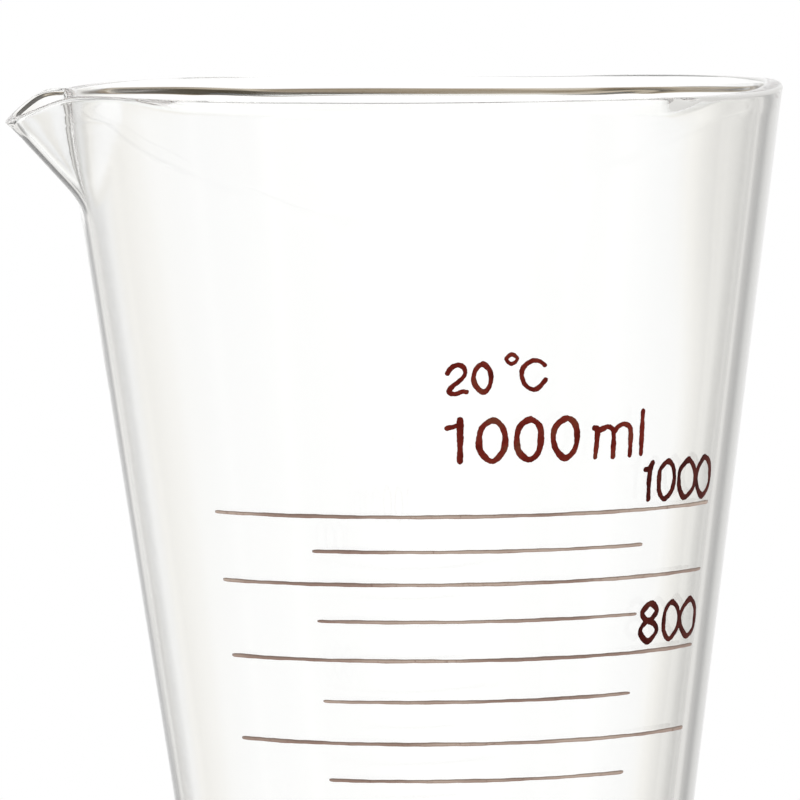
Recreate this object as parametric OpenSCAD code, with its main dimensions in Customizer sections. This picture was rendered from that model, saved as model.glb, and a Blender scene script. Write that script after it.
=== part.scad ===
// Conical glass measure: a graduated cone with a pouring spout on a round foot.
// Millimetres. The origin is the centre of the foot's underside, +Z is up,
// the spout points to -X and the scale faces -Y.

/* [Bowl] */
// Height from the table to the top of the lip
overall_h = 330; // [322:1:338]
// Height of the floor inside the bowl
well_z = 20; // [19:0.5:22]
// Radius of the rounded floor inside the bowl
well_r = 21.8; // [20.6:0.2:22.6]
// Growth of the radius for each millimetre of height
taper = 0.139; // [0.136:0.001:0.142]
// Thickness of the wall, square to its face
wall = 2.4; // [2:0.1:2.8]
// Radius of the fire-polished bead along the lip
lip_r = 1.35; // [1.3:0.05:1.5]

/* [Spout] */
// How far below the top of the lip the spout leaves the wall
spout_drop = 21.4; // [18:0.2:24]
// Half angle of the spout's cone
spout_half = 36; // [32:1:38]
// Lean of the spout's cone away from the bowl
spout_lean = 7.3; // [5:0.1:9]
// Distance from the bowl's axis where the edge of the spout starts to fall
spout_edge = 66.5; // [65.5:0.5:68]
// Fall of the spout's edge below level, in degrees
spout_fall = 32.5; // [28:0.5:36]

/* [Foot] */
// Diameter of the foot
foot_d = 104; // [96:1:112]
// Thickness of the foot near its rim
foot_edge = 4.2; // [3.6:0.2:5]
// Radius of the seal where the bowl is fused to the foot
seal_r = 14.5; // [13:0.5:16]
// Height of the seal above the table
seal_z = 13; // [12:0.5:14]

/* [Scale] */
// Volume of the highest line, in ml
top_ml = 1000; // [600:200:1000]
// Volume of the lowest line, in ml
low_ml = 100; // [100:100:200]
// Step between long lines, in ml; a short line stands halfway
step_ml = 100; // [100]
// Half of the angle that a long line spans
long_half = 54; // [50:1:56]
// Half of the angle that a short line spans
short_half = 33; // [28:1:34]
// Width of a line
line_w = 0.7; // [0.5:0.1:0.9]
// Thickness of the fired enamel
enamel_t = 0.15; // [0.1:0.05:0.3]

/* [Figures] */
// Height of the numbers on the scale
number_h = 7.65; // [6:0.05:8]
// Distance between the numbers' digits
number_pitch = 6.1; // [5.6:0.1:6.4]
// Height of the figures of the capacity
capacity_h = 8.3; // [7:0.1:8.6]
// Height of the capacity's baseline above the highest line
capacity_rise = 9.7; // [9.4:0.1:10.4]
// Height of the figures of the reference temperature
temperature_h = 6.0; // [5:0.1:6.4]
// Height of the temperature's baseline above the highest line
temperature_rise = 21.6; // [21:0.1:23]

/* [Hidden] */
$fn = 120;

glass = [0.84, 0.92, 0.91, 0.45];
enamel = [0.47, 0.14, 0.10];

// ---- the cone ----
lean = atan(taper);              // angle between the wall and the axis
sec = sqrt(1 + taper * taper);
well_c = well_z + well_r;        // height of the centre of the rounded floor

// Radius of the inner and of the outer face of the wall at height z
function in_r(z) = (z - well_c) * taper + well_r * sec;
function out_r(z) = in_r(z) + wall * sec;

// ---- volume held below a height, and the height of a given volume ----
cap_h = well_r * (1 - sin(lean));
cap_v = PI * cap_h * cap_h * (3 * well_r - cap_h) / 3;
cap_r = well_r * cos(lean);
function mark_z(ml) =
    let (r3 = (ml * 1000 - cap_v) * 3 * taper / PI + pow(cap_r, 3),
         r = pow(r3, 1 / 3))
    well_c + (r - well_r * sec) / taper;

// ---- curves ----
// Points on a part of an ellipse from angle a0 to a1
function arc(cx, cy, rx, ry, a0, a1, n = 12) =
    [for (i = [0:n]) let (a = a0 + (a1 - a0) * i / n)
        [cx + rx * cos(a), cy + ry * sin(a)]];
// Points on a smooth curve from a to d that leaves towards b and arrives from c
function bend(a, b, c, d, n = 8) =
    [for (i = [0:n]) let (t = i / n, s = 1 - t)
        s*s*s * a + 3*s*s*t * b + 3*s*t*t * c + t*t*t * d];

// ---- bowl ----
lip_z = overall_h - lip_r;                       // centre of the bead
lip_c = (in_r(lip_z) + out_r(lip_z)) / 2;
lip_turn = acos(wall / 2 / lip_r);               // where the bead meets the wall

// Outside of the bowl with the bead, as a solid of revolution
module bowl_outside() {
    rotate_extrude() polygon(concat(
        [[0, seal_z]],
        bend([seal_r, seal_z], [seal_r, seal_z + 8], [out_r(24), 24], [out_r(35), 35], 10),
        arc(lip_c, lip_z, lip_r, lip_r, -lean - lip_turn, 90, 10),
        [[0, overall_h]]));
}

// Hollow of the bowl, open at the top, with the inner half of the bead left standing
module bowl_hollow() {
    rotate_extrude() polygon(concat(
        arc(0, well_c, well_r, well_r, -90, -lean, 12),
        arc(lip_c, lip_z, lip_r, lip_r, 180 - lean + lip_turn, 90, 10),
        [[lip_c, overall_h + 1], [0, overall_h + 1]]));
}

// The spout is a leaning cone that swells out of the wall
module spout_cone(inset) {
    translate([-out_r(overall_h - spout_drop) + 0.8, 0, overall_h - spout_drop])
        rotate([0, -spout_lean, 0])
            translate([0, 0, inset / sin(spout_half)])
                cylinder(h = 40, r1 = 0, r2 = 40 * tan(spout_half));
}

// Everything above the lip, falling along the spout
module above_lip() {
    rotate([90, 0, 0]) linear_extrude(height = 90, center = true)
        polygon([[0, overall_h - 0.6], [0, overall_h + 60], [-140, overall_h + 60],
            [-140, overall_h - 0.6 - (140 - spout_edge) * tan(spout_fall)],
            [-spout_edge, overall_h - 0.6]]);
}

module glass_body() {
    color(glass) difference() {
        union() {
            bowl_outside();
            difference() {
                spout_cone(0);
                above_lip();
            }
        }
        bowl_hollow();
        spout_cone(wall);
    }
}

// ---- foot ----
module glass_foot() {
    r = foot_d / 2;
    color(glass) rotate_extrude() polygon(concat(
        [[0, 0]],
        arc(r - 1.6, 1.6, 1.6, 1.6, -90, 0, 5),
        arc(r - 2.4, foot_edge - 2.2, 2.4, 2.2, 0, 75, 5),
        bend([r - 6, foot_edge + 0.25], [32, foot_edge + 1.6], [seal_r + 0.2, foot_edge + 1.4], [seal_r, seal_z], 10),
        [[0, seal_z]]));
}

// ---- enamel ----
// A line across the front at the height of a volume
module scale_line(ml, half) {
    z = mark_z(ml);
    a = z - line_w / 2;
    b = z + line_w / 2;
    rotate([0, 0, -90 - half]) rotate_extrude(angle = 2 * half)
        polygon([[out_r(a), a], [out_r(a) + enamel_t, a], [out_r(b) + enamel_t, b], [out_r(b), b]]);
}

// A drawing on the wall: x = 0 at the angle theta from the front, y = 0 at height z
module on_wall(theta, z) {
    rotate([0, 0, theta]) translate([0, -out_r(z) + 5, z])
        rotate([90, 0, 0]) linear_extrude(height = 10) children();
}

// The skin that enamel fills, between two heights
module skin(z0, z1) {
    rotate([0, 0, -180]) rotate_extrude(angle = 180)
        polygon([[out_r(z0), z0], [out_r(z0) + enamel_t, z0], [out_r(z1) + enamel_t, z1], [out_r(z1), z1]]);
}

// Outline of a stroke of width s along the points p
function tangent(p, i) =
    let (a = p[max(i - 1, 0)], b = p[min(i + 1, len(p) - 1)]) (b - a) / norm(b - a);
function beside(p, d) =
    [for (i = [0:len(p) - 1]) let (t = tangent(p, i)) [p[i][0] - d * t[1], p[i][1] + d * t[0]]];
function backwards(p) = [for (i = [len(p) - 1:-1:0]) p[i]];
module stroke(p, s) {
    polygon(concat(beside(p, s / 2), backwards(beside(p, -s / 2))));
}
// An upright oval ring with its lowest point at y
module oval(w, h, s, y = 0) {
    difference() {
        polygon(arc(0, y + h / 2, w / 2, h / 2, 0, 345, 23));
        polygon(arc(0, y + h / 2, w / 2 - s, h / 2 - s, 0, 345, 23));
    }
}

// Figures of height h and stroke s, centred on x = 0, standing on y = 0
module figure_0(h, w, s) { oval(w, h, s); }
module figure_1(h, w, s) {
    stroke([[0, 0], [0, h]], s);
    stroke([[-0.3 * h, 0.74 * h], [-0.16 * h, 0.77 * h], [0, 0.84 * h]], s * 0.8);
}
module figure_2(h, w, s) {
    r = (w - s) / 2;
    stroke(concat(arc(0, h - s / 2 - r, r, r, 165, -35, 10), [[-r * 0.9, s * 0.9], [-r, s / 2]]), s);
    stroke([[-r - s / 2, s / 2], [w / 2, s / 2]], s);
}
module figure_3(h, w, s) {
    r = (w - s) / 2;
    low = 0.27 * h - s / 4;
    high = (h - s) / 2 - low;
    stroke(arc(0, h - s / 2 - high, 0.9 * r, high, 155, -90, 12), s);
    stroke(arc(0, s / 2 + low, r, low, 90, -155, 12), s);
    stroke([[-0.3 * r, s / 2 + 2 * low], [0.3 * r, s / 2 + 2 * low]], s);
}
module figure_5(h, w, s) {
    r = (w - s) / 2;
    stroke([[-0.8 * r - s / 2, h - s / 2], [r, h - s / 2]], s);
    stroke([[-0.8 * r, h], [-0.8 * r, 0.46 * h]], s);
    stroke(arc(0, 0.31 * h, r, 0.31 * h - s / 2, 145, -150, 12), s);
}
module figure_8(h, w, s) {
    oval(w, 0.56 * h, s);
    oval(0.88 * w, 0.52 * h, s, 0.48 * h);
}
module letter_c(h, w, s) {
    stroke(arc(0, h / 2, (w - s) / 2, (h - s) / 2, 48, 318, 18), s);
}
module letter_m(h, w, s) {
    r = (w - s) / 4;
    for (x = [-2 * r, 0, 2 * r]) stroke([[x, 0], [x, h - r]], s);
    stroke([[-2 * r, h - r], [-2 * r, h]], s);
    for (x = [-r, r]) stroke(arc(x, h - r - s / 2, r, r, 180, 0, 10), s);
}
module letter_l(h, w, s) { stroke([[0, 0], [0, h]], s); }
module figure(c, h, w, s) {
    if (c == "0") figure_0(h, w, s);
    if (c == "1") figure_1(h, w, s);
    if (c == "2") figure_2(h, w, s);
    if (c == "3") figure_3(h, w, s);
    if (c == "5") figure_5(h, w, s);
    if (c == "8") figure_8(h, w, s);
    if (c == "C") letter_c(h, w, s);
    if (c == "m") letter_m(h, w, s);
    if (c == "l") letter_l(h, w, s);
    if (c == "o") oval(w, h, s);
}

// A number that stands on its line and ends just past the line's end
module scale_number(digits) {
    ml = digits == "1000" ? 1000 : (ord(digits[0]) - ord("0")) * 100;
    z = mark_z(ml) + line_w / 2 + 1.1;
    r = out_r(z);
    n = len(digits);
    color(enamel) intersection() {
        union() for (i = [0:n - 1])
            on_wall(long_half + 2.4 - (number_pitch / 2 + (n - 1 - i) * number_pitch) / r * 180 / PI, z)
                figure(digits[i], number_h, digits[i] == "0" ? number_pitch - 0.25 : 5.3, 0.95);
        skin(z - 1, z + number_h + 1);
    }
}

module scale_lines_long() {
    color(enamel) for (ml = [low_ml:step_ml:top_ml]) scale_line(ml, long_half);
}
module scale_lines_short() {
    color(enamel) for (ml = [low_ml + step_ml / 2:step_ml:top_ml]) scale_line(ml, short_half);
}
module scale_number_1000() scale_number("1000");
module scale_number_800() scale_number("800");
module scale_number_500() scale_number("500");
module scale_number_300() scale_number("300");
module scale_number_100() scale_number("100");

// The capacity: each row is a figure, its angle from the front, height and width
module capacity_mark() {
    z = mark_z(top_ml) + capacity_rise;
    h = capacity_h;
    color(enamel) intersection() {
        union() for (f = [["1", -5.0, h, 4], ["0", 1.0, h, 5.8], ["0", 8.0, h, 5.6],
                ["0", 15.1, h, 5.8], ["m", 25.4, 0.76 * h, 8.9], ["l", 32.3, 0.97 * h, 1]])
            on_wall(f[1], z) figure(f[0], f[2], f[3], 1.1);
        skin(z - 1, z + h + 1);
    }
}

// The reference temperature, with the degree sign as a small ring
module temperature_mark() {
    z = mark_z(top_ml) + temperature_rise;
    h = temperature_h;
    color(enamel) intersection() {
        union() {
            for (f = [["2", -5.5, h, 4.0], ["0", -0.85, h, 4.2], ["C", 8.7, h, 5.2]])
                on_wall(f[1], z) figure(f[0], f[2], f[3], 0.9);
            on_wall(4.2, z + 0.83 * h) figure("o", 2.7, 2.8, 0.75);
        }
        skin(z - 1, z + h + 3);
    }
}

glass_body();
glass_foot();
scale_lines_long();
scale_lines_short();
scale_number_1000();
scale_number_800();
scale_number_500();
scale_number_300();
scale_number_100();
capacity_mark();
temperature_mark();
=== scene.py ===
import math

import bpy
import numpy as np
from mathutils import Matrix, Vector


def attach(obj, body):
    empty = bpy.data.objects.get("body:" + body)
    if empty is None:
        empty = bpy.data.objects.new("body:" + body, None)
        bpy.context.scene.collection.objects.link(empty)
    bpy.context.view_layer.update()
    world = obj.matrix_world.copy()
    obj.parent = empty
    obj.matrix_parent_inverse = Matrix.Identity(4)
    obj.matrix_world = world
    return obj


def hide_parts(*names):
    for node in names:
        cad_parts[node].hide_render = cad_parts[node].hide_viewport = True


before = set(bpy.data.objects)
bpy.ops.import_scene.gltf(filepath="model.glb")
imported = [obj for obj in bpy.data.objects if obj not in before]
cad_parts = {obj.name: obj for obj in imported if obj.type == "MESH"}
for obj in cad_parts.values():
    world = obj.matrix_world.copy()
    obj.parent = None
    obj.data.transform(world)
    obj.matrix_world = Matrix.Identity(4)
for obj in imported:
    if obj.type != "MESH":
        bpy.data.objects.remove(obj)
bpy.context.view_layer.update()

# ---------------------------------------------------------------------------
# Sizes, in millimetres, as the part has them
# ---------------------------------------------------------------------------
overall_h, well_z, well_r, taper, wall = 330.0, 20.0, 21.8, 0.139, 2.4
foot_r, foot_edge, seal_r, seal_z = 52.0, 4.2, 14.5, 13.0
line_w, number_h = 0.7, 7.65
long_half, short_half = 54.2, 33.2

sec = math.sqrt(1 + taper * taper)
lean = math.atan(taper)
well_c = well_z + well_r


def in_r(z):
    return (z - well_c) * taper + well_r * sec


def out_r(z):
    return in_r(z) + wall * sec


cap_h = well_r * (1 - math.sin(lean))
cap_v = math.pi * cap_h ** 2 * (3 * well_r - cap_h) / 3
cap_r = well_r * math.cos(lean)


def mark_z(ml):
    return well_c + (((ml * 1000 - cap_v) * 3 * taper / math.pi + cap_r ** 3) ** (1 / 3) - well_r * sec) / taper


# ---------------------------------------------------------------------------
# Camera: a long lens, a little above the lip, turned 10.7 degrees from the scale
# ---------------------------------------------------------------------------
scene = bpy.context.scene
turn = math.radians(-10.7)
side = Vector((math.cos(turn), math.sin(turn), 0))
ahead = Vector((-math.sin(turn), math.cos(turn), 0))
yaw, pitch, roll = math.radians(-0.187), math.radians(4.422), math.radians(-1.032)
look = (side * math.sin(yaw) + ahead * math.cos(yaw)) * math.cos(pitch) - Vector((0, 0, math.sin(pitch)))
across = side * math.cos(yaw) - ahead * math.sin(yaw)
upward = across.cross(look)
right = across * math.cos(roll) + upward * math.sin(roll)
upward = upward * math.cos(roll) - across * math.sin(roll)
cam_data = bpy.data.cameras.new("camera")
cam_data.sensor_width = 36
cam_data.lens = 8549 * 36 / 800
cam_data.clip_start, cam_data.clip_end = 0.05, 60
camera = bpy.data.objects.new("camera", cam_data)
place = -ahead * 1.528 + Vector((0, 0, 0.3923))
camera.matrix_world = Matrix((
    (right.x, upward.x, -look.x, place.x),
    (right.y, upward.y, -look.y, place.y),
    (right.z, upward.z, -look.z, place.z),
    (0, 0, 0, 1)))
scene.collection.objects.link(camera)
scene.camera = camera
scene.view_settings.view_transform = "Standard"
scene.view_settings.look = "None"
scene.cycles.max_bounces = 480
scene.cycles.glossy_bounces = 480
scene.cycles.transmission_bounces = 32
scene.cycles.diffuse_bounces = 4
scene.cycles.transparent_max_bounces = 24


# ---------------------------------------------------------------------------
# Helpers
# ---------------------------------------------------------------------------
def smooth(a, b, x):
    t = np.clip((np.asarray(x, float) - a) / (b - a), 0, 1)
    return t * t * (3 - 2 * t)


def soft_ramp(x, k):
    """0 for low x and x for high x, with a rounded corner k wide."""
    return k * np.log1p(np.exp(np.clip(np.asarray(x, float) / k, -40, 40)))


def soft_max(a, b, k):
    h = np.clip(k - np.abs(a - b), 0, None) / k
    return np.maximum(a, b) + h * h * k / 4


def mesh_object(name, points, faces, slots=(), which=None, uv=None, shade=True):
    """A mesh object from points in millimetres."""
    me = bpy.data.meshes.new(name)
    me.from_pydata((np.asarray(points, float) * 0.001).tolist(), [], [list(map(int, f)) for f in faces])
    for m in slots:
        me.materials.append(m)
    if which is not None:
        me.polygons.foreach_set("material_index", np.asarray(which, np.int32))
    if shade:
        me.polygons.foreach_set("use_smooth", np.ones(len(me.polygons), bool))
    if uv is not None:
        layer = me.uv_layers.new(name="UVMap")
        corner = np.zeros(len(me.loops), np.int32)
        me.loops.foreach_get("vertex_index", corner)
        layer.data.foreach_set("uv", np.asarray(uv, np.float32)[corner].ravel())
    me.update()
    ob = bpy.data.objects.new(name, me)
    scene.collection.objects.link(ob)
    return ob


def turned(rows, slots=(), name="turned", which=None):
    """Closed surface from rows of points round the axis. The first and last row are single points."""
    n = len(rows[1])
    points = [np.asarray(rows[0]).reshape(1, 3)] + [np.asarray(r) for r in rows[1:-1]] + [np.asarray(rows[-1]).reshape(1, 3)]
    start = np.cumsum([0] + [len(p) for p in points])
    faces, mats = [], []
    around = np.arange(n)
    nxt = (around + 1) % n
    for k in range(len(points) - 1):
        m = 0 if which is None else which[k]
        if k == 0:
            f = np.stack([np.full(n, start[0]), start[1] + nxt, start[1] + around], 1)
        elif k == len(points) - 2:
            f = np.stack([start[k] + around, start[k] + nxt, np.full(n, start[k + 1])], 1)
        else:
            f = np.stack([start[k] + around, start[k] + nxt, start[k + 1] + nxt, start[k + 1] + around], 1)
        faces.extend(f.tolist())
        mats.extend([m] * len(f))
    return mesh_object(name, np.concatenate(points), faces, slots, mats)


def bezier(a, b, c, d, n):
    t = np.linspace(0, 1, n + 1)[:, None]
    s = 1 - t
    a, b, c, d = (np.array(p, float) for p in (a, b, c, d))
    return s ** 3 * a + 3 * s * s * t * b + 3 * s * t * t * c + t ** 3 * d


class Nodes:
    """Short names for building a node tree."""

    def __init__(self, tree):
        self.tree = tree
        tree.nodes.clear()

    def new(self, kind, **inputs):
        node = self.tree.nodes.new(kind)
        for key, value in inputs.items():
            self.put(node, key, value)
        return node

    def put(self, node, key, value):
        socket = node.inputs[key] if isinstance(key, int) else node.inputs[key.replace("_", " ")]
        if isinstance(value, bpy.types.NodeSocket):
            self.tree.links.new(value, socket)
        else:
            socket.default_value = value

    def math(self, op, a, b=None, c=None, clamp=False):
        node = self.tree.nodes.new("ShaderNodeMath")
        node.operation = op
        node.use_clamp = clamp
        for i, v in enumerate((a, b, c)):
            if v is not None:
                self.put(node, i, v)
        return node.outputs[0]

    def ramp(self, factor, stops, mode="LINEAR"):
        node = self.tree.nodes.new("ShaderNodeValToRGB")
        node.color_ramp.interpolation = mode
        el = node.color_ramp.elements
        while len(el) > 1:
            el.remove(el[-1])
        for i, (at, colour) in enumerate(stops):
            e = el[0] if i == 0 else el.new(at)
            e.position = at
            e.color = (*colour, 1) if hasattr(colour, "__len__") else (colour, colour, colour, 1)
        self.put(node, 0, factor)
        return node.outputs[0]

    def mix(self, factor, a, b):
        node = self.tree.nodes.new("ShaderNodeMix")
        node.data_type = "RGBA"
        for socket, v in ((node.inputs[0], factor), (node.inputs[6], a), (node.inputs[7], b)):
            if isinstance(v, bpy.types.NodeSocket):
                self.tree.links.new(v, socket)
            else:
                socket.default_value = (*v, 1) if hasattr(v, "__len__") else v
        return node.outputs[2]

    def step(self, x, a, b):
        node = self.tree.nodes.new("ShaderNodeMapRange")
        node.interpolation_type = "SMOOTHSTEP"
        self.put(node, 0, x)
        self.put(node, 1, a)
        self.put(node, 2, b)
        return node.outputs[0]


def new_material(name):
    m = bpy.data.materials.new(name)
    m.use_nodes = True
    return m, Nodes(m.node_tree)


def rgb(r, g, b):
    """A colour given as it shows on screen, 0 to 255."""
    def lin(v):
        v /= 255
        return v / 12.92 if v <= 0.04045 else ((v + 0.055) / 1.055) ** 2.4
    return (lin(r), lin(g), lin(b))


# ---------------------------------------------------------------------------
# Materials
# ---------------------------------------------------------------------------
def glass_material(name, tint, smear, ripple):
    """Clear glass with a faint unevenness of its fire-polished skin."""
    m, n = new_material(name)
    place = n.new("ShaderNodeTexCoord").outputs["Object"]
    broad = n.new("ShaderNodeTexNoise", Vector=place, Scale=38.0, Detail=2.0, Roughness=0.45)
    fine = n.new("ShaderNodeTexNoise", Vector=place, Scale=420.0, Detail=3.0, Roughness=0.6)
    bump = n.new("ShaderNodeBump", Strength=ripple, Distance=0.0003, Height=broad.outputs["Fac"])
    rough = n.ramp(fine.outputs["Fac"], [(0.45, 0.0), (0.75, smear)])
    p = n.new("ShaderNodeBsdfPrincipled", Base_Color=(*tint, 1), Roughness=rough, IOR=1.5)
    p.inputs["Transmission Weight"].default_value = 1.0
    n.put(p, "Normal", bump.outputs["Normal"])
    out = n.new("ShaderNodeOutputMaterial")
    n.tree.links.new(p.outputs[0], out.inputs[0])
    return m


def ground_material(name):
    """Finely ground and polished glass on the underside of the foot."""
    m, n = new_material(name)
    place = n.new("ShaderNodeTexCoord").outputs["Object"]
    grit = n.new("ShaderNodeTexNoise", Vector=place, Scale=2600.0, Detail=4.0, Roughness=0.7)
    bump = n.new("ShaderNodeBump", Strength=0.12, Distance=0.0001, Height=grit.outputs["Fac"])
    rough = n.ramp(grit.outputs["Fac"], [(0.3, 0.03), (0.7, 0.10)])
    p = n.new("ShaderNodeBsdfPrincipled", Base_Color=(0.985, 0.99, 0.987, 1), Roughness=rough, IOR=1.5)
    p.inputs["Transmission Weight"].default_value = 1.0
    n.put(p, "Normal", bump.outputs["Normal"])
    out = n.new("ShaderNodeOutputMaterial")
    n.tree.links.new(p.outputs[0], out.inputs[0])
    return m


def seam_material(name):
    """The fused seal between bowl and foot, which is one glass and shows no face."""
    m, n = new_material(name)
    p = n.new("ShaderNodeBsdfPrincipled", Base_Color=(1, 1, 1, 1), Roughness=0.0, IOR=1.5, Alpha=0.0)
    out = n.new("ShaderNodeOutputMaterial")
    n.tree.links.new(p.outputs[0], out.inputs[0])
    return m


def figure_enamel(name, shades):
    """Fired red-brown enamel, darker where it lies thick."""
    m, n = new_material(name)
    place = n.new("ShaderNodeTexCoord").outputs["Object"]
    cloud = n.new("ShaderNodeTexNoise", Vector=place, Scale=260.0, Detail=3.0, Roughness=0.55)
    grain = n.new("ShaderNodeTexNoise", Vector=place, Scale=2400.0, Detail=3.0, Roughness=0.6)
    colour = n.ramp(cloud.outputs["Fac"], list(zip((0.30, 0.44, 0.55, 0.70), shades)))
    colour = n.mix(n.step(grain.outputs["Fac"], 0.50, 0.80), colour, shades[0])
    rough = n.ramp(grain.outputs["Fac"], [(0.3, 0.34), (0.7, 0.52)])
    bump = n.new("ShaderNodeBump", Strength=0.25, Distance=0.00004, Height=grain.outputs["Fac"])
    p = n.new("ShaderNodeBsdfPrincipled", Base_Color=colour, Roughness=rough, IOR=1.5)
    p.inputs["Specular IOR Level"].default_value = 0.03
    n.put(p, "Normal", bump.outputs["Normal"])
    out = n.new("ShaderNodeOutputMaterial")
    n.tree.links.new(p.outputs[0], out.inputs[0])
    return m


def line_enamel(name):
    """The thinly printed lines: brown along their edges, paler between, uneven along their length."""
    m, n = new_material(name)
    uv = n.new("ShaderNodeTexCoord").outputs["UV"]
    place = n.new("ShaderNodeTexCoord").outputs["Object"]
    v = n.new("ShaderNodeSeparateXYZ", Vector=uv).outputs["Y"]
    long_noise = n.new("ShaderNodeTexNoise", Vector=place, Scale=42.0, Detail=2.0, Roughness=0.5)
    fine = n.new("ShaderNodeTexNoise", Vector=place, Scale=1500.0, Detail=3.0, Roughness=0.6)
    edge = n.ramp(v, [(0.0, rgb(142, 116, 102)), (0.20, rgb(176, 152, 138)), (0.52, rgb(188, 168, 154)),
                      (0.78, rgb(150, 132, 118)), (1.0, rgb(112, 94, 82))])
    dark = n.ramp(v, [(0.0, rgb(128, 92, 78)), (0.3, rgb(150, 122, 108)), (0.7, rgb(128, 106, 94)), (1.0, rgb(104, 84, 74))])
    colour = n.mix(n.step(long_noise.outputs["Fac"], 0.40, 0.62), edge, dark)
    colour = n.mix(n.step(fine.outputs["Fac"], 0.55, 0.85), colour, rgb(110, 78, 66))
    p = n.new("ShaderNodeBsdfPrincipled", Base_Color=colour, Roughness=n.ramp(fine.outputs["Fac"], [(0.3, 0.36), (0.7, 0.55)]), IOR=1.5)
    out = n.new("ShaderNodeOutputMaterial")
    n.tree.links.new(p.outputs[0], out.inputs[0])
    return m


glass = glass_material("blown_glass", (0.992, 0.994, 0.990), 0.012, 0.03)
pressed = glass_material("pressed_glass", (0.985, 0.990, 0.987), 0.02, 0.10)
ground = ground_material("ground_glass")
seam = seam_material("fused_seam")
figures = figure_enamel("figure_enamel", (rgb(80, 20, 13), rgb(100, 28, 20), rgb(113, 38, 28), rgb(106, 54, 38)))
number_enamel = figure_enamel("number_enamel", (rgb(48, 8, 5), rgb(64, 15, 10), rgb(80, 27, 20), rgb(86, 40, 30)))
lines = line_enamel("line_enamel")

# ---------------------------------------------------------------------------
# The bowl
# ---------------------------------------------------------------------------
N = 432
# Columns stand closer together round the spout, which points to -X
u = np.arange(N) / N * 2 * math.pi
phi = u + 0.42 * np.sin(u)  # densest at 180 degrees
phi = np.mod(phi, 2 * math.pi)
psi = (np.degrees(phi) - 180.0)  # degrees from the middle of the spout

spout_z = 308.6


def pulled(psi_deg, z):
    """How far the spout stands out of the cone, in mm."""
    h = z - spout_z
    rise = 0.751 * soft_ramp(h - 2.36, 0.9)
    reach = out_r(z) * np.radians(np.abs(psi_deg))
    near = np.asarray(psi_deg) >= 0
    half = np.where(near, 27.0, 14.5) * (0.34 + 0.66 * np.clip(h / 17.0, 0, 1.3) ** 0.85)
    a = np.clip(reach / np.maximum(half, 1e-6), 0, 1)
    return rise * np.cos(math.pi / 2 * a) ** np.where(near, 3.2, 2.2)


def waves(ph, z):
    """Slow unevenness of blown glass, in mm."""
    return (0.030 * np.sin(2 * ph + 0.019 * z + 0.7) + 0.022 * np.sin(3 * ph - 0.031 * z + 2.1)
            + 0.012 * np.sin(5 * ph + 0.057 * z + 4.0)) * smooth(40, 90, z)


def thickness(ph, z):
    """The wall is thicker on the right of the scale than beside the spout."""
    t = wall + 0.95 * np.cos(ph - math.radians(-10.7)) * smooth(60, 150, z)
    t = t + 0.05 * np.sin(3 * ph + 0.02 * z)
    from_spout = np.abs(np.degrees(ph) - 180)
    t = t + (1.55 - t) * (1 - smooth(12, 34, from_spout)) * smooth(306, 322, z)
    front = smooth(0.44, 0.97, np.cos(ph - math.radians(-100.7)))
    return t + (np.minimum(t, 1.9) - t) * front * smooth(270, 324, z)


tilt = math.tan(math.radians(0.78))
facing = math.radians(90 - 10.7)  # the far side of the mouth, as the camera sees it


def spread(value, table):
    """Smooth curve through a table of (place, value)."""
    xs = np.array([t[0] for t in table], float)
    ys = np.array([t[1] for t in table], float)
    m = np.gradient(ys, xs)
    m[0] = m[-1] = 0
    v = np.clip(value, xs[0], xs[-1])
    i = np.clip(np.searchsorted(xs, v, side="right") - 1, 0, len(xs) - 2)
    h = xs[i + 1] - xs[i]
    t = (v - xs[i]) / h
    return ((2 * t ** 3 - 3 * t ** 2 + 1) * ys[i] + (t ** 3 - 2 * t ** 2 + t) * h * m[i]
            + (3 * t ** 2 - 2 * t ** 3) * ys[i + 1] + (t ** 3 - t ** 2) * h * m[i + 1])


def rightward(ph):
    """Degrees to the right of the far side, -180 to 180."""
    return np.degrees((facing - ph + math.pi) % (2 * math.pi) - math.pi)


# The lip isn't quite level: how far it rises or sinks, by degrees to the right of the far side
uneven = [(-180, 0), (-60, 0), (-40, 0.0), (-28, -0.35), (-17, -0.45), (-4, -0.60), (9, -0.72), (23, -0.58), (35, -0.12),
          (48, 0.24), (59, 0.45), (67, 0.60), (75, 0.80), (88, 0.95), (98, 0.60), (108, 0.10), (118, -0.12),
          (135, -0.08), (160, 0), (180, 0)]


def lip_top(ph, r):
    """Height of the top of the lip."""
    level = 330.17 + 0.08 * np.cos(ph - facing) - tilt * r * np.cos(ph + math.radians(10.7)) * 0.9
    level = level + spread(rightward(ph), uneven)
    return level - math.tan(math.radians(36.0)) * soft_ramp(r - 68.2, 0.8)


def outer(ph, ps, z):
    r = out_r(z) + pulled(ps, z) + waves(ph, z)
    return np.stack([r * np.cos(ph), r * np.sin(ph), z + 0 * r], -1), r


def unit(v):
    return v / np.maximum(np.linalg.norm(v, axis=-1, keepdims=True), 1e-12)


def roll_d(p):
    """Derivative round the axis for unevenly spaced columns."""
    return np.roll(p, -1, axis=-2) - np.roll(p, 1, axis=-2)


# order the columns by angle
order = np.argsort(phi)
phi, psi = phi[order], psi[order]

below = 4.2  # the bead takes over this far below its middle
z_end = np.full(N, 324.0)
t_end = thickness(phi, z_end)

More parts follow.
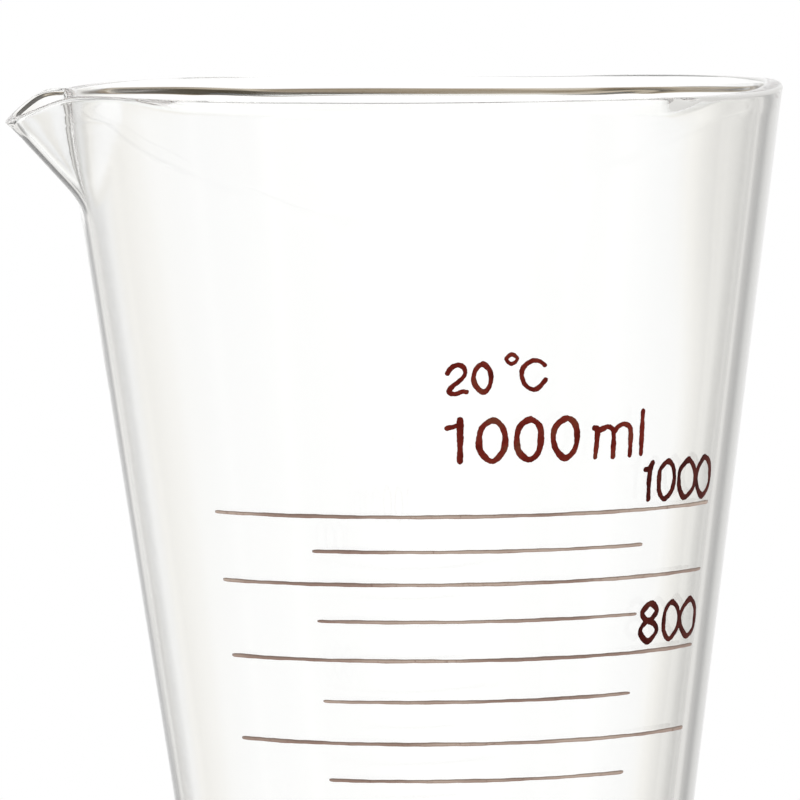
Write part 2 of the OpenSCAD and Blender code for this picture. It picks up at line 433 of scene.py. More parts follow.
# The bead: full on the far side, and little more than a rounded edge on the near side
away = np.cos(phi - facing)  # 1 on the far side, -1 nearest the camera
aside = np.where(rightward(phi) > -100.7, 1, -1) * np.abs(psi)  # degrees from the spout, far side positive
aside = np.where(rightward(phi) > 79.3, -np.abs(psi), aside)
full = smooth(-0.30, 0.30, away) * np.where(psi < 0, smooth(9, 26, np.abs(psi)), smooth(16, 46, np.abs(psi)))
pour = 1 - np.where(psi < 0, smooth(8, 20, np.abs(psi)), smooth(14, 30, np.abs(psi)))  # 1 in the spout
pour_far = pour * smooth(-4, 4, aside)
fat = t_end / 2 + 0.05
far_rise = spread(rightward(phi), [(-100, 0.4), (-75, 0.62), (-66, 0.72), (-60, 0.84), (-50, 1.18), (-39, 1.54), (-28, 1.68), (-4, 1.70),
                                   (22, 1.62), (33, 1.70), (45, 1.75), (55, 1.54), (62, 1.44), (70, 1.34), (78, 1.2), (90, 1.0), (110, 1.0)])
far_drop = spread(rightward(phi), [(-100, 1.1), (-75, 1.4), (-60, 1.5), (-50, 1.60), (-42, 1.85), (-34, 2.05), (-4, 2.1), (9, 2.15),
                                   (22, 2.25), (33, 2.40), (40, 1.95), (47, 1.65), (55, 1.6), (62, 1.6), (70, 1.5), (80, 1.3), (90, 1.1)])
far_fat = spread(rightward(phi), [(-100, 0.10), (-75, 0.13), (-66, 0.19), (-58, 0.34), (-50, 0.43), (-42, 0.50), (-36, 0.60), (-30, 0.78), (-20, 0.85), (0, 0.85),
                                  (20, 0.75), (33, 0.75), (40, 0.55), (47, 0.39), (55, 0.36), (62, 0.33), (70, 0.28), (80, 0.16), (90, 0.10)])
straight = smooth(31, 43, np.abs(rightward(phi)))  # the bead's lower half is a straight slope there
fat = fat + (t_end / 2 + far_fat - fat) * full + 0.24 * pour_far * (1 - full)
rise = far_rise * full + (0.80 - 0.72 * pour_far) * (1 - full)
drop = far_drop * full + 1.05 * (1 - full)
straight = np.maximum(straight, pour_far)
strong = np.clip(full + pour_far, 0, 1)

# On the near side the wall thins towards a narrow rounded edge
plain = (1 - full) * (1 - pour) * smooth(0.56, 0.78, -away)  # 1 where it does
edge_r, flank = 0.36, math.radians(14)
flank_h = (t_end / 2 - edge_r * math.cos(flank)) / math.tan(flank)
rise_round = rise
rise = rise + (flank_h + edge_r * (1 - math.sin(flank)) - rise) * plain
for _ in range(14):
    top, r_top = outer(phi, psi, z_end)
    low, _r = outer(phi, psi, z_end - 0.5)
    edge = unit(roll_d(top))
    up = unit(top - low)
    normal = unit(np.cross(edge, up))
    stand = unit(np.cross(normal, edge))
    centre = top - normal * (t_end / 2)[:, None] + stand * below
    r_c = np.hypot(centre[:, 0], centre[:, 1])
    z_end = z_end + 0.8 * (lip_top(phi, r_c) - rise - centre[:, 2])
    z_end = z_end + 0.06 * (np.roll(z_end, 1) + np.roll(z_end, -1) - 2 * z_end)

# heights of the rows, closer together near the lip
lower = 38.6
s = np.concatenate([np.linspace(0, 0.80, 18), np.linspace(0.80, 1.0, 30)[1:]])
rows_z = lower + (z_end[None, :] - lower) * s[:, None]
P, _r = outer(phi[None, :], psi[None, :], rows_z)
d_round = roll_d(P)
d_up = np.gradient(P, axis=0)
Nrm = unit(np.cross(d_round, d_up))
Nrm[-1] = normal
T = thickness(phi[None, :], rows_z)
T[-1] = t_end
Q = P - Nrm * T[..., None]
# the inside follows the turned shape near the floor
for k in range(len(s)):
    w = smooth(50, 75, rows_z[k])[:, None]
    zi = rows_z[k] + wall * math.sin(lean)
    ri = in_r(zi)
    exact = np.stack([ri * np.cos(phi), ri * np.sin(phi), zi], -1)
    Q[k] = Q[k] * w + exact * (1 - w)


def half_at(tau):
    """Half the thickness, tau mm above the bead's middle (tau below 0)."""
    arch = np.sqrt(np.clip(1 - (tau / drop) ** 2, 0, 1)) * fat
    slope = t_end / 2 + (fat - t_end / 2) * (1 - (np.sqrt((tau / drop) ** 2 + 0.04) - 0.2) / 0.8198)
    arch = arch + (slope - arch) * straight
    gentle = t_end / 2 + (fat - t_end / 2) * smooth(-3.8, -0.2, np.full(N, tau))
    return soft_max(arch, t_end / 2, 0.14 - 0.09 * straight) * strong + gentle * (1 - strong)


def flank_at(h):
    """Half the thickness of the near lip, h mm above the place where it begins to thin."""
    return t_end / 2 - math.tan(flank) * soft_ramp(h, 0.10)


half_rows = []
steps = np.concatenate([np.linspace(-3.9, -2.4, 5), np.linspace(-2.2, 0.0, 19)])
for tau in steps:
    across_h = half_at(tau) * (1 - plain) + flank_at(np.full(N, tau)) * plain
    half_rows.append((across_h, np.full(N, tau)))
for k in range(1, 15):
    # the fused bead is half an ellipse; the thin lip is a straight flank and a small half round
    ang = math.pi / 2 * k / 14
    if k < 8:
        h = flank_h * k / 8
        thin = (flank_at(h), h)
    else:
        b = flank + (math.pi / 2 - flank) * (k - 8) / 6
        thin = (np.full(N, edge_r * math.cos(b)), flank_h + edge_r * (math.sin(b) - math.sin(flank)))
    round_ = (fat * math.cos(ang), rise_round * math.sin(ang))
    half_rows.append(tuple(a * (1 - plain) + b * plain for a, b in zip(round_, thin)))
bead = [centre + x[:, None] * normal + y[:, None] * stand for x, y in half_rows]
bead += [centre - x[:, None] * normal + y[:, None] * stand for x, y in half_rows[-2::-1]]

foot_curve = bezier((seal_r, seal_z), (seal_r, seal_z + 8), (out_r(24), 24), (out_r(35), 35), 14)


def ring(r, z):
    return np.stack([r * np.cos(phi), r * np.sin(phi), np.full(N, z)], -1)


rows = [np.array([0, 0, seal_z])]
kind = [1]
for r, z in foot_curve:
    rows.append(ring(r, z))
    kind.append(0)
rows += list(P)
rows += bead
rows += list(Q[::-1])
for a in np.linspace(-math.degrees(lean) - 3, -86, 17):
    rows.append(ring(well_r * math.cos(math.radians(a)), well_c + well_r * math.sin(math.radians(a))))
rows.append(np.array([0, 0, well_z]))
kind += [0] * (len(rows) - len(kind))
body = turned(rows, (glass, seam), "glass_bowl", kind)
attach(body, "root")
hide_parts("glass_body")

# ---------------------------------------------------------------------------
# The foot
# ---------------------------------------------------------------------------
M = 256
ph_f = np.arange(M) / M * 2 * math.pi


def foot_ring(r, z, wob=0.0):
    rr = r + wob * (0.10 * np.sin(2 * ph_f + 1) + 0.06 * np.sin(5 * ph_f))
    return np.stack([rr * np.cos(ph_f), rr * np.sin(ph_f), np.full(M, z)], -1)


foot_rows = [np.array([0, 0, seal_z])]
f_kind = [1]
profile = [tuple(p) for p in bezier((foot_r - 6, foot_edge + 0.25), (32, foot_edge + 1.6), (seal_r + 0.2, foot_edge + 1.4), (seal_r, seal_z), 30)[::-1]]
for a in np.linspace(78, 0, 9):
    profile.append((foot_r - 2.4 + 2.4 * math.cos(math.radians(a)), foot_edge - 2.2 + 2.2 * math.sin(math.radians(a))))
for a in np.linspace(-12, -90, 8):
    profile.append((foot_r - 1.6 + 1.6 * math.cos(math.radians(a)), 1.6 + 1.6 * math.sin(math.radians(a))))
for r, z in profile:
    foot_rows.append(foot_ring(r, z, smooth(20, 40, r)))
    f_kind.append(0)
f_kind[-1] = 2
for r in (44, 34, 22, 10):
    foot_rows.append(foot_ring(r, 0.0))
    f_kind.append(2)
foot_rows.append(np.array([0, 0, 0.0]))
foot = turned(foot_rows, (pressed, seam, ground), "pressed_foot", f_kind)
foot.data.flip_normals()
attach(foot, "root")
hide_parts("glass_foot")


# ---------------------------------------------------------------------------
# Enamel
# ---------------------------------------------------------------------------
film = 0.07  # how far the enamel stands out of the glass
sunk = 0.03  # how far it is fused into it


def wall_point(theta, z, lift):
    """Theta is in radians from the front (-Y), towards +X."""
    ph = theta - math.pi / 2
    ps = np.degrees(np.mod(ph, 2 * math.pi)) - 180
    r = out_r(z) + pulled(ps, z) + waves(np.mod(ph, 2 * math.pi), z) + lift * sec
    return np.stack([r * np.sin(theta), -r * np.cos(theta), z], -1)


def slab(name, front, rim, faces, theta, z, height, material, uv=None):
    """A closed film: faces over the points (theta, z), height mm proud of the glass, closed at the rim."""
    n = len(theta)
    top = wall_point(theta, z, height)
    back = wall_point(theta, z, np.full(n, -sunk))
    pts = np.concatenate([top, back])
    fs = [list(f) for f in faces] + [[i + n for i in reversed(f)] for f in faces]
    for a, b in rim:
        fs.append([b, a, a + n, b + n])
    if uv is not None:
        uv = np.concatenate([uv, uv])
    ob = mesh_object(name, pts, fs, (material,), None, uv)
    return ob


def scale_lines(name, marks):
    """marks: (ml, half angle, shift up in mm, tilt in degrees, width in mm)."""
    pts, fs, uvs, start = [], [], [], 0
    for i, (ml, half, shift, slope, w0) in enumerate(marks):
        z0 = mark_z(ml) + shift
        r0 = out_r(z0)
        n = int(half * 2 / 0.45)
        ang = np.radians(np.linspace(-half, half, n + 1))
        cross = np.array([-0.5, -0.42, -0.25, 0.0, 0.25, 0.42, 0.5])
        high = np.array([0.0, 0.8, 1.0, 0.85, 1.0, 0.8, 0.0]) * film
        along = ang * r0
        wob = 0.02 * np.sin(along * 0.55 + i * 2.0) + 0.014 * np.sin(along * 1.9 + i)
        w = w0 * (1 + 0.10 * np.sin(along * 0.23 + i * 1.7) + 0.05 * np.sin(along * 0.9 + i * 0.6))
        end = np.minimum(np.arange(n + 1), n - np.arange(n + 1))
        w = w * np.where(end == 0, 0.55, np.where(end == 1, 0.88, 1.0))
        for j in range(n + 1):
            zc = z0 - math.tan(math.radians(slope)) * r0 * math.sin(ang[j]) + 0.10 * (1 - 2 * (math.sin(ang[j]) / 0.8) ** 2) + wob[j]
            z = zc + cross * w[j]
            pts.append(wall_point(np.full(7, ang[j]), z, high if 0 < j < n else high * 0))
            uvs.append(np.stack([np.full(7, along[j] / 100 + 0.5), cross + 0.5], 1))
        for j in range(n + 1):
            zc = z0 - math.tan(math.radians(slope)) * r0 * math.sin(ang[j]) + 0.10 * (1 - 2 * (math.sin(ang[j]) / 0.8) ** 2) + wob[j]
            z = zc + cross * w[j]
            pts.append(wall_point(np.full(7, ang[j]), z, np.full(7, -sunk)))
            uvs.append(np.stack([np.full(7, along[j] / 100 + 0.5), cross + 0.5], 1))
        b = start + 7 * (n + 1)
        for j in range(n):
            for k in range(6):
                a = start + 7 * j + k
                fs.append([a, a + 7, a + 8, a + 1])
                a = b + 7 * j + k
                fs.append([a, a + 1, a + 8, a + 7])
            a, c = start + 7 * j, b + 7 * j
            fs.append([a, c, c + 7, a + 7])
            a, c = start + 7 * j + 6, b + 7 * j + 6
            fs.append([a, a + 7, c + 7, c])
        for k in range(6):
            a, c = start + k, b + k
            fs.append([a, a + 1, c + 1, c])
            a, c = start + 7 * n + k, b + 7 * n + k
            fs.append([a, c, c + 1, a + 1])
        start += 14 * (n + 1)
    return mesh_object(name, np.concatenate(pts), fs, (lines,), None, np.concatenate(uvs))


printed = {1000: 0.20, 950: -0.02, 900: 0.40, 850: 0.22, 800: -0.02, 750: -0.40, 700: -0.72, 650: 0.25}
slopes = {1000: 0.82, 950: 0.85, 900: 0.72, 850: 0.80, 800: 0.82, 750: 0.65, 700: 0.88, 650: 0.72}
longs = scale_lines("printed_lines_long", [
    (ml, long_half, printed.get(ml, 0.0), slopes.get(ml, 0.78), 0.66) for ml in range(100, 1001, 100)])
shorts = scale_lines("printed_lines_short", [
    (ml, short_half, printed.get(ml, 0.0), slopes.get(ml, 0.78), 0.62) for ml in range(150, 1000, 100)])
for ob, node in ((longs, "scale_lines_long"), (shorts, "scale_lines_short")):
    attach(ob, "root")
    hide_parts(node)


def curve(points, closed, n=7):
    """A smooth line through the points."""
    p = np.array(points, float)
    if len(p) == 2 and not closed:
        return np.array([p[0] + (p[1] - p[0]) * t for t in np.linspace(0, 1, 6)])
    if closed:
        q = np.concatenate([p[-1:], p, p[:2]])
        count = len(p)
    else:
        q = np.concatenate([2 * p[:1] - p[1:2], p, 2 * p[-1:] - p[-2:-1]])
        count = len(p) - 1
    out = []
    for i in range(count):
        a, b, c, d = q[i:i + 4]
        for t in np.arange(n) / n:
            out.append(0.5 * (2 * b + (c - a) * t + (2 * a - 5 * b + 4 * c - d) * t * t + (3 * b - a - 3 * c + d) * t ** 3))
    if not closed:
        out.append(p[-1])
    else:
        out.append(out[0])
    return np.array(out)


def film_from_strokes(name, strokes, base_z, material, bold=1.0, cell=0.10):
    """Strokes are (points in mm, width, closed). x runs round the wall from the front, y up the wall from base_z."""
    r0 = out_r(base_z)
    segs = []
    for i, (pts, width, closed) in enumerate(strokes):
        c = curve(pts, closed)
        along = np.concatenate([[0], np.cumsum(np.linalg.norm(np.diff(c, axis=0), axis=1))])
        w = width * bold / 2 * (1 + 0.10 * np.sin(along * 0.9 + i * 1.3) + 0.06 * np.sin(along * 2.3 + i))
        for a, b, wa, wb in zip(c[:-1], c[1:], w[:-1], w[1:]):
            segs.append((*a, *b, wa, wb))
    segs = np.array(segs)
    pad = 1.0
    x0, x1 = segs[:, [0, 2]].min() - pad, segs[:, [0, 2]].max() + pad
    y0, y1 = segs[:, [1, 3]].min() - pad, segs[:, [1, 3]].max() + pad
    nx, ny = int((x1 - x0) / cell) + 1, int((y1 - y0) / cell) + 1
    gx, gy = x0 + np.arange(nx) * cell, y0 + np.arange(ny) * cell
    X, Y = np.meshgrid(gx, gy, indexing="ij")
    F = np.full(X.shape, -9.0)
    for ax, ay, bx, by, wa, wb in segs:
        i0, i1 = max(int((min(ax, bx) - 1.2 - x0) / cell), 0), min(int((max(ax, bx) + 1.2 - x0) / cell) + 2, nx)
        j0, j1 = max(int((min(ay, by) - 1.2 - y0) / cell), 0), min(int((max(ay, by) + 1.2 - y0) / cell) + 2, ny)
        xs, ys = X[i0:i1, j0:j1], Y[i0:i1, j0:j1]
        dx, dy = bx - ax, by - ay
        t = np.clip(((xs - ax) * dx + (ys - ay) * dy) / max(dx * dx + dy * dy, 1e-9), 0, 1)
        d = np.hypot(xs - ax - t * dx, ys - ay - t * dy)
        F[i0:i1, j0:j1] = np.maximum(F[i0:i1, j0:j1], wa + (wb - wa) * t - d)
    F = F + 0.035 * np.sin(X * 5.1 + Y * 1.7) * np.sin(Y * 4.3 - X * 2.2 + 1.0) + 0.02 * np.sin(X * 11 + 3) * np.sin(Y * 9)
    F[np.abs(F) < 1e-4] = 1e-4
    # walk the cells, keep the part of each that lies inside, and share the points
    pts, height, index, faces, rim = [], [], {}, [], []

    def grid_point(i, j):
        key = (i, j)
        if key not in index:
            index[key] = len(pts)
            pts.append((gx[i], gy[j]))
            height.append(F[i, j])
        return index[key]

    def cut_point(i, j, k, l):
        key = (i, j, k, l) if (i, j) < (k, l) else (k, l, i, j)
        if key not in index:
            a, b = F[key[0], key[1]], F[key[2], key[3]]
            t = a / (a - b)
            index[key] = len(pts)
            pts.append((gx[key[0]] + (gx[key[2]] - gx[key[0]]) * t, gy[key[1]] + (gy[key[3]] - gy[key[1]]) * t))
            height.append(0.0)
        return index[key]

    inside = F > 0
    any_in = inside[:-1, :-1] | inside[1:, :-1] | inside[:-1, 1:] | inside[1:, 1:]
    for i, j in zip(*np.nonzero(any_in)):
        corners = [(i, j), (i + 1, j), (i + 1, j + 1), (i, j + 1)]
        ins = [inside[c] for c in corners]
        if all(ins):
            faces.append([grid_point(*c) for c in corners])
            continue
        if ins[0] == ins[2] and ins[1] == ins[3]:
            # two opposite corners: two separate triangles
            for q in range(4):
                if ins[q]:
                    a, b, c = corners[q - 1], corners[q], corners[(q + 1) % 4]
                    e0, e1 = cut_point(*a, *b), cut_point(*b, *c)
                    faces.append([e0, grid_point(*b), e1])
                    rim.append((e1, e0))
            continue
        poly, cuts = [], []
        for q in range(4):
            a, b = corners[q], corners[(q + 1) % 4]
            if ins[q]:
                poly.append(grid_point(*a))
            if ins[q] != ins[(q + 1) % 4]:
                e = cut_point(*a, *b)
                poly.append(e)
                cuts.append((e, ins[q]))
        faces.append(poly)
        leave = [e for e, was_in in cuts if was_in][0]
        enter = [e for e, was_in in cuts if not was_in][0]
        rim.append((leave, enter))
    pts, height = np.array(pts), np.array(height)
    theta = pts[:, 0] / r0
    z = base_z + pts[:, 1] / sec
    high = film * np.sqrt(np.clip(1 - (1 - np.clip(height / 0.28, 0, 1)) ** 2, 0, 1))
    return slab(name, None, rim, faces, theta, z, high, material)


capacity = [
    ([(-5.0, 7.75), (-5.0, 4.0), (-5.05, 0.45)], 1.12, False),
    ([(-7.25, 6.35), (-6.05, 6.6), (-5.05, 7.0)], 0.80, False),
    ([(0.65, 7.5), (2.2, 6.4), (2.85, 4.25), (2.45, 1.9), (0.55, 0.25), (-1.35, 1.9), (-1.75, 3.9), (-1.2, 6.3)], 1.10, True),
    ([(7.25, 7.4), (8.95, 6.15), (9.25, 3.75), (8.8, 1.45), (7.2, 0.3), (5.4, 1.65), (4.9, 3.9), (5.4, 6.25)], 1.12, True),
    ([(13.85, 7.3), (15.4, 6.5), (16.05, 4.7), (16.0, 2.6), (15.35, 1.15), (13.9, 0.25), (12.25, 1.75), (11.55, 3.9), (11.95, 6.0)], 1.10, True),
    ([(19.45, 5.3), (20.1, 4.95), (20.1, 2.65), (19.95, 0.1)], 1.02, False),
    ([(20.1, 4.7), (21.3, 5.1), (22.4, 5.35), (23.3, 4.75), (23.6, 3.5), (23.7, 0.0)], 1.00, False),
    ([(23.65, 4.45), (24.6, 5.35), (25.85, 5.6), (27.05, 4.9), (27.35, 3.25), (27.45, 0.0)], 1.00, False),
    ([(29.75, 7.6), (29.85, 4.65), (30.05, 0.1)], 1.05, False),
]
temperature = [
    ([(-7.3, 4.0), (-6.7, 4.9), (-5.65, 5.45), (-4.65, 5.15), (-4.25, 4.3), (-4.45, 3.45), (-5.4, 2.5), (-6.4, 1.75), (-7.0, 1.0), (-6.75, 0.45), (-5.65, 0.4), (-4.8, 0.75), (-3.95, 0.65)], 0.84, False),
    ([(-1.25, 5.5), (-0.1, 4.5), (0.25, 3.0), (-0.1, 1.4), (-1.1, 0.55), (-2.3, 1.55), (-2.8, 2.95), (-2.4, 4.6)], 0.92, True),
    ([(3.85, 7.05), (4.8, 6.25), (3.85, 5.35), (2.85, 6.25)], 0.72, True),
    ([(9.8, 4.9), (8.85, 5.65), (7.4, 5.75), (6.05, 4.8), (5.65, 3.45), (6.25, 1.7), (7.55, 0.75), (8.75, 0.95), (10.0, 2.3)], 0.86, False),
]
number_1000 = [
    ([(32.5, 6.5), (32.1, 5.6), (31.95, 3.65), (32.15, 0.15)], 1.0, False),
    ([(30.85, 5.45), (31.45, 5.5), (32.0, 5.75)], 0.75, False),
    ([(36.65, 6.5), (37.95, 5.6), (38.6, 4.1), (38.7, 2.5), (38.1, 0.9), (36.3, -0.2), (34.85, 1.2), (34.55, 3.05), (34.55, 4.95), (35.5, 6.0)], 0.95, True),
    ([(42.7, 6.25), (44.3, 5.15), (45.25, 3.55), (45.4, 2.05), (44.6, 0.65), (42.4, -0.4), (40.75, 1.0), (40.15, 2.85), (40.2, 4.5), (41.25, 5.6)], 1.0, True),
    ([(48.3, 6.3), (50.2, 5.2), (50.9, 3.45), (51.0, 1.55), (50.2, 0.15), (48.5, -0.6), (46.75, 0.75), (45.95, 2.5), (46.05, 4.25), (47.0, 5.55)], 1.0, True),
]
number_800 = [
    ([(33.05, 6.6), (34.75, 5.5), (34.5, 4.5), (32.9, 3.5), (31.35, 4.4), (31.2, 5.4)], 1.0, True),
    ([(32.9, 3.5), (34.75, 2.6), (35.2, 1.3), (33.1, -0.2), (31.0, 1.4), (31.35, 2.7)], 1.0, True),
    ([(39.25, 6.3), (41.0, 5.25), (41.85, 3.65), (41.95, 2.0), (41.0, 0.65), (39.2, -0.35), (37.5, 1.25), (37.2, 3.25), (37.35, 4.8), (38.1, 5.85)], 0.95, True),
    ([(45.6, 6.25), (47.6, 4.7), (48.05, 2.8), (47.95, 1.0), (46.9, 0.0), (45.2, -0.35), (43.1, 1.35), (42.4, 2.85), (42.6, 4.25), (43.8, 5.5)], 0.98, True),
]


def shifted(strokes, dx, sy=1.0):
    return [([(x + dx, y * sy) for x, y in p], w, c) for p, w, c in strokes]


zero_a, zero_b = number_800[2], number_800[3]
five = [([(35.0, 6.35), (33.2, 6.3), (31.8, 6.25)], 0.95, False), ([(31.8, 6.3), (31.6, 4.8), (31.5, 3.3)], 0.92, False),
        ([(31.5, 3.5), (32.6, 4.2), (34.2, 3.9), (35.2, 2.6), (35.0, 0.9), (33.5, -0.25), (31.9, 0.0), (31.1, 1.0)], 0.95, False)]
three = [([(31.3, 5.3), (32.3, 6.35), (33.8, 6.3), (34.7, 5.2), (34.3, 3.95), (33.0, 3.35)], 0.95, False),
         ([(33.0, 3.35), (34.6, 2.9), (35.2, 1.5), (34.5, 0.1), (32.9, -0.35), (31.5, 0.2), (31.1, 1.2)], 0.97, False)]
one = number_1000[:2]

pieces = [
    ("printed_capacity", capacity, mark_z(1000) + 9.7, "capacity_mark"),
    ("printed_temperature", temperature, mark_z(1000) + 21.6, "temperature_mark"),
    ("printed_number_1000", number_1000, mark_z(1000) + 1.45, "scale_number_1000"),
    ("printed_number_800", number_800, mark_z(800) + 1.45, "scale_number_800"),
]
for ml, head in ((500, five), (300, three), (100, one)):
    z0 = mark_z(ml) + 1.45
    lag = out_r(mark_z(800) + 1.45) * math.radians(56.0) - out_r(z0) * math.radians(56.0)
    pieces.append((f"printed_number_{ml}", shifted(head + [zero_a, zero_b], -lag), z0, f"scale_number_{ml}"))
for name, strokes, z0, node in pieces:
    small = node.startswith("scale_number")
    ob = film_from_strokes(name, strokes, z0, number_enamel if small else figures, 1.14 if small else 1.02)
    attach(ob, "root")
    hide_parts(node)

# ---------------------------------------------------------------------------
# Floor: a pale round of paper that fades into the background
# ---------------------------------------------------------------------------
floor_mat, n = new_material("floor_paper")
place_f = n.new("ShaderNodeTexCoord").outputs["Object"]
far_out = n.new("ShaderNodeVectorMath", Vector=place_f)
far_out.operation = "LENGTH"
tooth = n.new("ShaderNodeTexNoise", Vector=place_f, Scale=900.0, Detail=2.0)
paper = n.ramp(tooth.outputs["Fac"], [(0.3, (0.955, 0.955, 0.955)), (0.7, (0.97, 0.97, 0.97))])
alpha = n.math("SUBTRACT", 1.0, n.step(far_out.outputs["Value"], 0.12, 0.33))
p = n.new("ShaderNodeBsdfPrincipled", Base_Color=paper, Roughness=0.9, Alpha=alpha)
p.inputs["Specular IOR Level"].default_value = 0.1
o = n.new("ShaderNodeOutputMaterial")
n.tree.links.new(p.outputs[0], o.inputs[0])
ang = np.arange(96) / 96 * 2 * math.pi
f_pts, f_faces = [(0, 0, -0.02)], []
for k, r in enumerate((70, 140, 210, 280, 350)):
    f_pts += [(r * math.cos(a), r * math.sin(a), -0.02) for a in ang]
    for j in range(96):
        a, b = 1 + k * 96 + j, 1 + k * 96 + (j + 1) % 96
        f_faces.append([0, a, b] if k == 0 else [a - 96, a, b, b - 96])
floor = mesh_object("floor", f_pts, f_faces, (floor_mat,))

# ---------------------------------------------------------------------------
# Light: a white room. The glass sees pale panels with greyer gaps between them
# ---------------------------------------------------------------------------
world = bpy.data.worlds.new("studio")
scene.world = world
world.use_nodes = True
world.cycles.sampling_method = "NONE"
n = Nodes(world.node_tree)
d = n.new("ShaderNodeSeparateXYZ", Vector=n.new("ShaderNodeTexCoord").outputs["Generated"])
x, y, z = d.outputs
heading = n.math("MULTIPLY", n.math("ARCTAN2", n.math("MULTIPLY", x, -1.0), y), 57.29578)
height = n.math("MULTIPLY", n.math("ARCSINE", z), 57.29578)


def off(centre_deg):
    node = n.math("WRAP", n.math("SUBTRACT", heading, centre_deg), 180.0, -180.0)
    return node


main = off(-10.7 - 0.19)


def fan(stops, width=120.0):
    """Brightness by degrees from the main view's direction; the picture's right is negative."""
    return n.ramp(n.math("MULTIPLY_ADD", main, 1 / width, 0.5), [(0.5 + a / width, v) for a, v in stops])


others = None
for c in (45.0, 90.0, 225.0):
    a = n.math("ABSOLUTE", off(c))
    others = a if others is None else n.math("MINIMUM", others, a)


def pairs(stops):
    """Brightness by degrees from the nearest of the other views' directions."""
    return n.ramp(n.math("DIVIDE", others, 60.0), [(a / 60, v) for a, v in stops])


def times(a, b):
    node = n.tree.nodes.new("ShaderNodeVectorMath")
    node.operation = "MULTIPLY"
    for socket, v in zip(node.inputs, (a, b)):
        if isinstance(v, bpy.types.NodeSocket):
            n.tree.links.new(v, socket)
        else:
            socket.default_value = v
    return node.outputs[0]


near_main = n.step(n.math("ABSOLUTE", main), 34.0, 30.0)
# Light that came straight through
through = n.mix(near_main, pairs([(0, 1.05), (4, 1.05), (8, 0.86), (15, 0.62), (23, 0.52), (35, 0.52), (50, 0.8)]), fan([
    (-50, 0.60), (-31, 0.42), (-24, 0.50), (-21, 0.58), (-18, 0.68), (-16, 0.75), (-14.3, 0.79), (-11, 0.91), (-9.5, 0.98),
    (-7.5, 1.05), (-5, 1.10), (1.5, 1.08), (2.35, 1.05), (2.75, 1.04), (3.3, 1.01), (3.95, 0.995), (4.9, 0.957), (5.6, 1.0),
    (6.8, 1.08), (9.1, 1.04), (11.9, 0.98), (14.7, 0.945), (22, 0.85), (40, 0.7)]))
tone = (1.0, 0.983, 0.945)
through = times(through, n.mix(n.step(through, 1.07, 0.97), (1.0, 1.0, 1.0), tone))
low = fan([(-6, rgb(128, 122, 112)), (-2.9, rgb(138, 128, 114)), (-1.7, rgb(196, 186, 168)), (-1.1, rgb(192, 180, 160)), (-0.8, rgb(178, 164, 142)),
           (-0.3, rgb(144, 128, 104)), (0.5, rgb(132, 116, 92)), (1.4, rgb(84, 74, 56)), (2.6, rgb(76, 68, 52)), (12, rgb(60, 54, 42))])
high = fan([(-12, rgb(70, 62, 46)), (-3, rgb(74, 66, 50)), (-1.7, rgb(88, 76, 58)), (-1.2, rgb(130, 114, 90)), (-0.7, rgb(142, 126, 102)),
            (-0.3, rgb(146, 134, 114)), (0.5, rgb(158, 146, 126)), (1.6, rgb(182, 170, 150)), (4, rgb(190, 178, 158)), (6.5, rgb(110, 100, 84)), (8.5, rgb(60, 56, 50)),
            (20, rgb(50, 48, 44))])
patch = n.mix(n.step(height, 13.5, 18.5), low, high)
corner = n.math("MULTIPLY", n.step(height, 20.8, 20.0), n.math("MULTIPLY", n.step(main, 0.5, 1.5), n.step(height, 14.0, 17.0)))
patch = n.mix(corner, patch, n.mix(n.step(main, 1.6, 2.6), rgb(112, 102, 86), rgb(60, 55, 46)))
sky = n.ramp(n.math("DIVIDE", height, 90.0), [(0.0, 0.0), (5 / 90, 0.0), (9.5 / 90, 1.0), (50 / 90, 1.0), (70 / 90, 0.25), (1.0, 0.1)])
through = n.mix(sky, through, patch)
ground_f = n.step(n.math("MULTIPLY", height, -1.0), 9.0, 20.0)
through = n.mix(ground_f, through, (1.12, 1.12, 1.11))
bench = n.math("MULTIPLY", n.math("MULTIPLY", n.step(height, -31.0, -36.0), n.step(height, -74.0, -66.0)),
               n.math("MULTIPLY", n.step(main, 5.0, 13.0), n.step(main, 62.0, 50.0)))
through = n.mix(bench, through, (0.10, 0.10, 0.095))
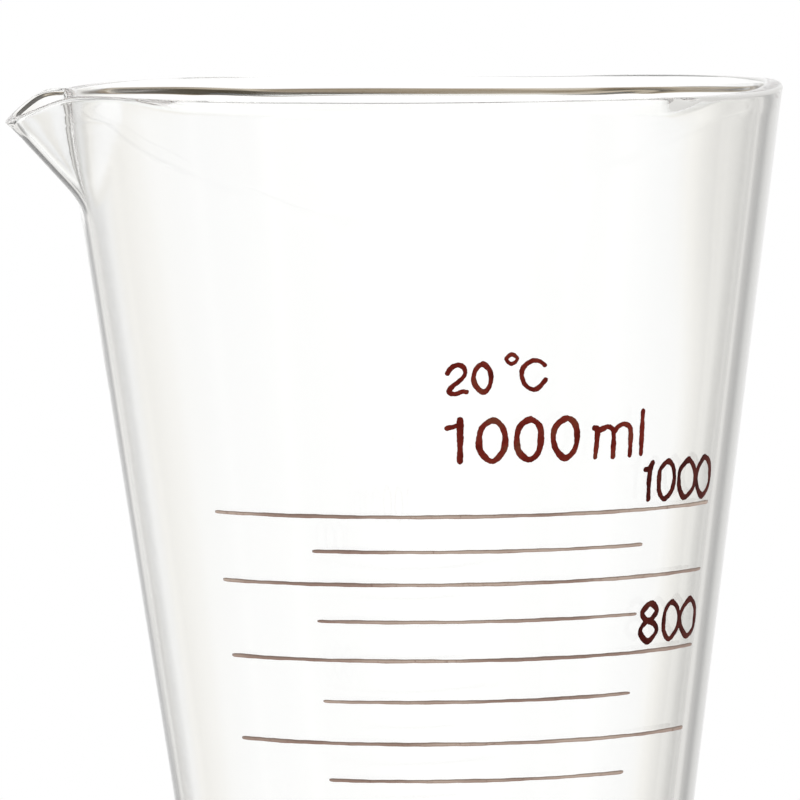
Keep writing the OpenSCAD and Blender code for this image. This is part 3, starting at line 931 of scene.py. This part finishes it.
# Light that was turned round inside the glass
inside = n.mix(near_main, pairs([(0, 0.8), (4, 0.5), (12, 0.35), (25, 0.3), (35, 0.45), (50, 0.78)]), fan([
    (-42, 0.85), (-36, 0.68), (-32.5, 0.62), (-30.2, 0.51), (-27.9, 0.40), (-25.3, 0.27), (-23.5, 0.215), (-21, 0.25), (-19.5, 0.33),
    (-16, 0.46), (-11.8, 0.49), (-5.8, 0.46), (-3, 0.46), (-1, 0.6), (1, 0.6), (3, 0.4), (5, 0.06), (18, 0.06), (20, 0.20),
    (22, 0.50), (25, 0.85)]))
inside = times(inside, n.mix(n.step(inside, 1.0, 0.9), (1.0, 1.0, 1.0), tone))
under = n.math("MULTIPLY", n.math("MULTIPLY", n.step(height, -8.0, -11.0), n.step(height, -27.0, -21.0)),
               n.math("MULTIPLY", n.step(main, 5.0, 8.0), n.step(main, 29.0, 24.0)))
inside = n.mix(under, inside, (0.045, 0.044, 0.042))
up = n.math("MAXIMUM", n.step(height, 8.0, 20.0), n.step(height, -22.0, -30.0))
aside_f = n.math("MULTIPLY", n.step(n.math("ABSOLUTE", main), 40.0, 50.0), n.step(n.math("ABSOLUTE", main), 124.0, 112.0))
inside = n.mix(up, inside, n.mix(aside_f, (1.06, 1.06, 1.05), (0.12, 0.12, 0.12)))
ray = n.new("ShaderNodeLightPath")
plain = n.math("MAXIMUM", ray.outputs["Is Camera Ray"], n.math("GREATER_THAN", ray.outputs["Diffuse Depth"], 0.5))
turned_round = n.math("GREATER_THAN", ray.outputs["Glossy Depth"], 0.5)
outside_only = n.math("LESS_THAN", ray.outputs["Transmission Depth"], 0.5)
seen = n.mix(turned_round, through, inside)
many = n.mix(n.step(ray.outputs["Glossy Depth"], 16.0, 120.0), (0.60, 0.59, 0.57), (1.45, 1.45, 1.43))
seen = n.mix(n.math("GREATER_THAN", ray.outputs["Glossy Depth"], 3.5), seen, many)
seen = n.mix(n.math("MULTIPLY", turned_round, outside_only), seen, (1.0, 1.0, 1.0))
colour = n.mix(plain, seen, (1.0, 1.0, 1.0))
bg = n.new("ShaderNodeBackground", Color=colour, Strength=1.0)
o = n.new("ShaderNodeOutputWorld")
n.tree.links.new(bg.outputs[0], o.inputs[0])
